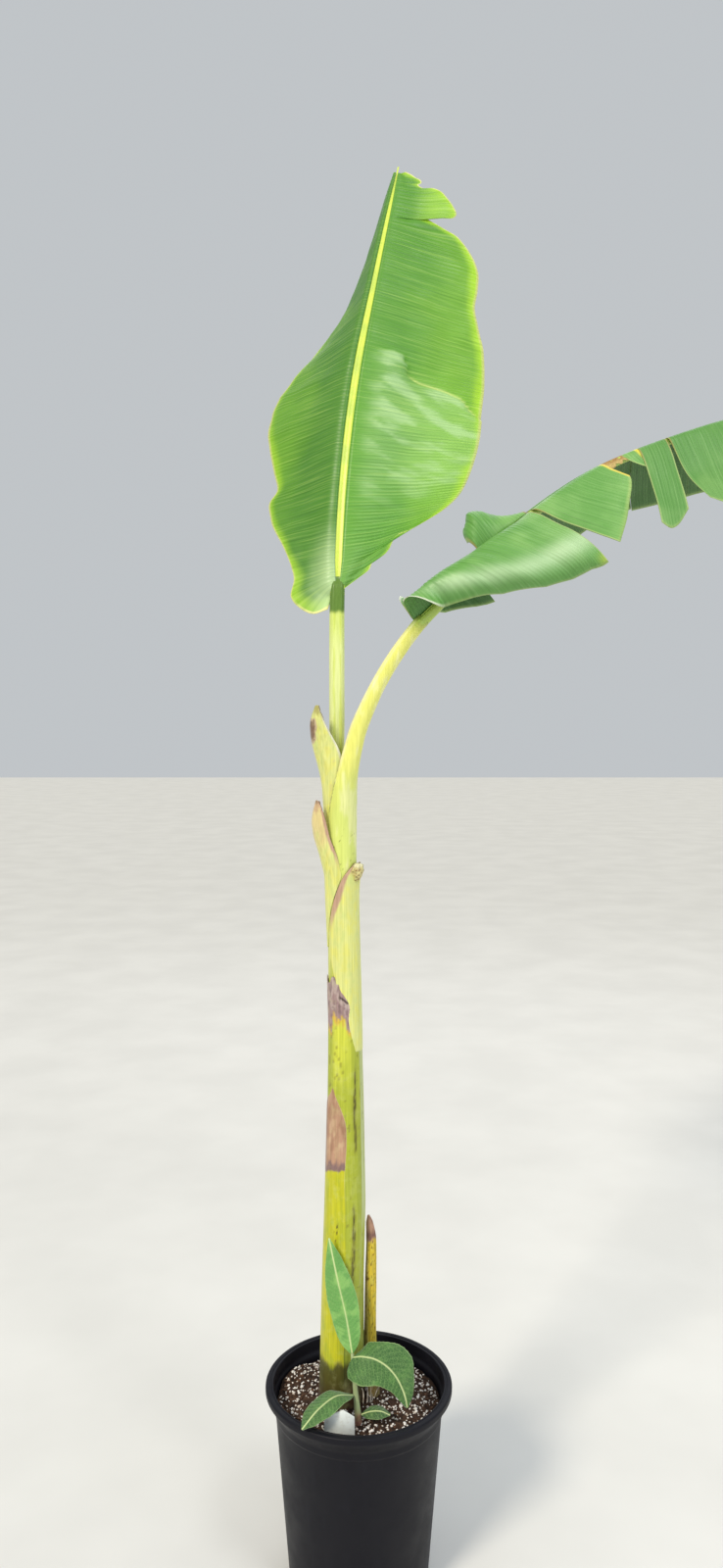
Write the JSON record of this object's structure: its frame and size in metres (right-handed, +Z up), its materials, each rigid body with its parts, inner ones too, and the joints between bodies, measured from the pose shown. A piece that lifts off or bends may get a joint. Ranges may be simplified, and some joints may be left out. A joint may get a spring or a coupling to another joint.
{
  "type": "potted banana plant",
  "caption": "Banana plant with an upright blade and a torn arching blade on a tall sheathed stem, standing in a round black nursery pot with a small side shoot.",
  "frame": {"origin": "centre of the flat underside of the pot", "axes": "+Z up along the pot and stem; +X to the plant's right, where the long blade arches; -Y to the plant's front"},
  "size_m": [1.2497, 0.5471, 2.7131],
  "materials": {
    "pot": "moulded blue-black plastic, dull on the wall and smoother on the lip",
    "potting_mix": "damp dark peat and bark with white perlite grains",
    "pseudostem": "smooth yellow-green sheaths, olive towards the soil",
    "cut_sheath": "yellow-green sheath, pinkish brown and papery along its cut edge",
    "dried_stub": "drying orange-yellow sheath with brown dots and a ragged brown tip",
    "petiole": "satin cream-yellow to lime",
    "midrib": "satin bright yellow-green",
    "leaf_1_blade": "waxy lime green, paler towards its cream edge",
    "leaf_2_blade": "waxy mid green with a pale sheen",
    "shoot_stalk": "hairy pale green, reddish at its foot",
    "shoot_leaf": "matt mid green with a hairy margin",
    "plant_label": "blank white plastic"
  },
  "bodies": {
    "root": {"pot": "pot", "potting_mix": "potting_mix", "pseudostem": "pseudostem", "cut_sheath_upper": "cut_sheath", "cut_sheath_left": "cut_sheath", "cut_sheath_right": "cut_sheath", "dried_stub": "dried_stub", "petiole_1": "petiole", "leaf_1_midrib": "midrib", "leaf_1_right": "leaf_1_blade", "leaf_1_left": "leaf_1_blade", "petiole_2": "petiole", "leaf_2_midrib": "midrib", "leaf_2_midrib_end": "midrib", "leaf_2_near_1": "leaf_2_blade", "leaf_2_near_2": "leaf_2_blade", "leaf_2_near_3": "leaf_2_blade", "leaf_2_near_4": "leaf_2_blade", "leaf_2_near_5": "leaf_2_blade", "leaf_2_near_6": "leaf_2_blade", "leaf_2_near_7": "leaf_2_blade", "leaf_2_far_1": "leaf_2_blade", "leaf_2_far_2": "leaf_2_blade", "leaf_2_far_3": "leaf_2_blade", "leaf_2_far_4": "leaf_2_blade", "leaf_2_far_5": "leaf_2_blade", "leaf_2_far_6": "leaf_2_blade", "leaf_2_far_7": "leaf_2_blade", "shoot_stalk": "shoot_stalk", "shoot_leaf_upright": "shoot_leaf", "shoot_leaf_broad": "shoot_leaf", "shoot_leaf_left": "shoot_leaf", "shoot_leaf_low": "shoot_leaf", "plant_label": "plant_label"}
  },
  "joints": []
}
